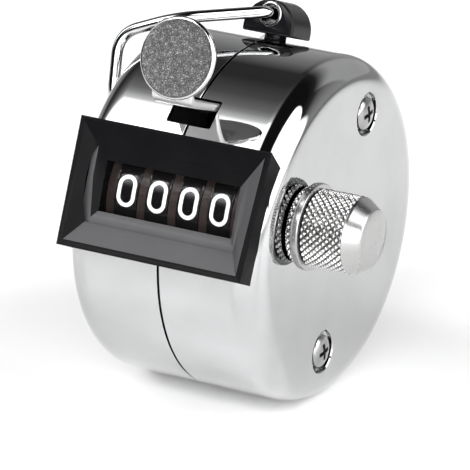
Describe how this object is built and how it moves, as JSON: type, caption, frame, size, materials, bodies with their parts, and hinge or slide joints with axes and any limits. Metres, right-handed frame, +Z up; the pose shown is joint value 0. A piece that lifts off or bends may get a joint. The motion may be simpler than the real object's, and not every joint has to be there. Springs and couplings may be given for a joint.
{
  "type": "hand tally counter",
  "caption": "Round chromed hand tally counter with a framed number window, a thumb lever on top, a knurled reset knob at the side and a wire finger ring.",
  "frame": {"origin": "middle of the whole counter's bounding box, on the floor it rests on", "axes": "+X along the number wheels' shaft towards the reset knob, -Y towards the side the window faces, +Z up"},
  "size_m": [0.0398, 0.0464, 0.0527],
  "materials": {
    "chrome": "mirror-bright chrome plate",
    "nickel": "bright nickel plate",
    "bezel_plastic": "satin black moulding",
    "clear_lens": "clear, polished",
    "lug_black": "glossy black enamel",
    "wheel_plastic": "glossy black, with white digits printed on",
    "mask_plastic": "dark brown-black moulding",
    "nylon": "natural nylon",
    "steel": "plain pressed steel",
    "spring_steel": "oiled spring wire and strip",
    "brass": "plain turned brass"
  },
  "bodies": {
    "case": {"left_shell": "chrome", "right_shell": "chrome", "bezel": "bezel_plastic", "window_lens": "clear_lens", "case_screw_upper": "nickel", "case_screw_lower": "nickel", "shaft_bush": "brass", "ring_lug": "lug_black", "wheel_mask": "mask_plastic", "case_post_upper": "steel", "case_post_lower": "steel", "pinion_shaft": "steel", "lever_pivot_pin": "steel", "stop_pawl_pin": "steel", "stop_pawl_spring": "spring_steel", "frame_plate_left": "steel", "frame_plate_right": "steel", "frame_post_back": "steel", "frame_post_bottom": "steel", "frame_post_front": "steel", "lug_rivet": "steel", "lug_washer": "steel", "lever_return_spring": "spring_steel"},
    "lever": {"thumb_lever": "nickel", "drive_pawl_pin": "steel", "drive_pawl_spring": "spring_steel"},
    "drive_pawl": {"drive_pawl": "steel"},
    "stop_pawl": {"stop_pawl": "steel"},
    "thousands_wheel": {"number_wheel_thousands": "wheel_plastic"},
    "hundreds_wheel": {"number_wheel_hundreds": "wheel_plastic"},
    "tens_wheel": {"number_wheel_tens": "wheel_plastic"},
    "ones_wheel": {"number_wheel_ones": "wheel_plastic", "ratchet_wheel": "steel"},
    "thousands_pinion": {"carry_pinion_thousands": "nylon"},
    "hundreds_pinion": {"carry_pinion_hundreds": "nylon"},
    "tens_pinion": {"carry_pinion_tens": "nylon"},
    "reset": {"wheel_shaft": "steel", "reset_knob": "nickel", "knob_band": "chrome", "shaft_clip": "spring_steel"},
    "ring": {"finger_ring": "chrome"}
  },
  "joints": [
    {"name": "lever_press", "type": "hinge", "parent": "case", "child": "lever", "pos_m": [-0.00366, 0.0031, 0.03473], "axis": [1, 0, 0], "range_deg": [0, 7.5], "stiffness_Nm_per_rad": 0.3, "springref_deg": -8.59, "deforming": ["lever_return_spring"]},
    {"name": "drive_pawl_lift", "type": "hinge", "parent": "lever", "child": "drive_pawl", "pos_m": [0.00604, -0.00012, 0.02903], "axis": [1, 0, 0], "range_deg": [-12, 0], "stiffness_Nm_per_rad": 0.004, "springref_deg": 5.73, "deforming": ["drive_pawl_spring"]},
    {"name": "stop_pawl_lift", "type": "hinge", "parent": "case", "child": "stop_pawl", "pos_m": [0.00604, -0.01589, 0.02127], "axis": [1, 0, 0], "range_deg": [-12, 0], "stiffness_Nm_per_rad": 0.004, "springref_deg": 5.73, "deforming": ["stop_pawl_spring"]},
    {"name": "thousands_wheel_spin", "type": "hinge", "parent": "case", "child": "thousands_wheel", "pos_m": [-0.00366, -0.0094, 0.02702], "axis": [1, 0, 0], "continuous": true},
    {"name": "hundreds_wheel_spin", "type": "hinge", "parent": "case", "child": "hundreds_wheel", "pos_m": [-0.00366, -0.0094, 0.02702], "axis": [1, 0, 0], "continuous": true},
    {"name": "tens_wheel_spin", "type": "hinge", "parent": "case", "child": "tens_wheel", "pos_m": [-0.00366, -0.0094, 0.02702], "axis": [1, 0, 0], "continuous": true},
    {"name": "ones_wheel_spin", "type": "hinge", "parent": "case", "child": "ones_wheel", "pos_m": [-0.00366, -0.0094, 0.02702], "axis": [1, 0, 0], "continuous": true},
    {"name": "thousands_pinion_spin", "type": "hinge", "parent": "case", "child": "thousands_pinion", "pos_m": [-0.00366, -0.00377, 0.01969], "axis": [1, 0, 0], "continuous": true},
    {"name": "hundreds_pinion_spin", "type": "hinge", "parent": "case", "child": "hundreds_pinion", "pos_m": [-0.00366, -0.00377, 0.01969], "axis": [1, 0, 0], "continuous": true},
    {"name": "tens_pinion_spin", "type": "hinge", "parent": "case", "child": "tens_pinion", "pos_m": [-0.00366, -0.00377, 0.01969], "axis": [1, 0, 0], "continuous": true},
    {"name": "reset_turn", "type": "hinge", "parent": "case", "child": "reset", "pos_m": [-0.00366, -0.0094, 0.02702], "axis": [1, 0, 0], "continuous": true},
    {"name": "ring_swing", "type": "hinge", "parent": "case", "child": "ring", "pos_m": [-0.00386, 0.01088, 0.04514], "axis": [0, 0.9239, -0.3827], "range_deg": [0, 205]}
  ],
  "couplings": [
    {"joint": "thousands_pinion_spin", "follows": "thousands_wheel_spin", "ratio": -2.5},
    {"joint": "hundreds_pinion_spin", "follows": "hundreds_wheel_spin", "ratio": -2.5},
    {"joint": "tens_pinion_spin", "follows": "tens_wheel_spin", "ratio": -2.5}
  ]
}
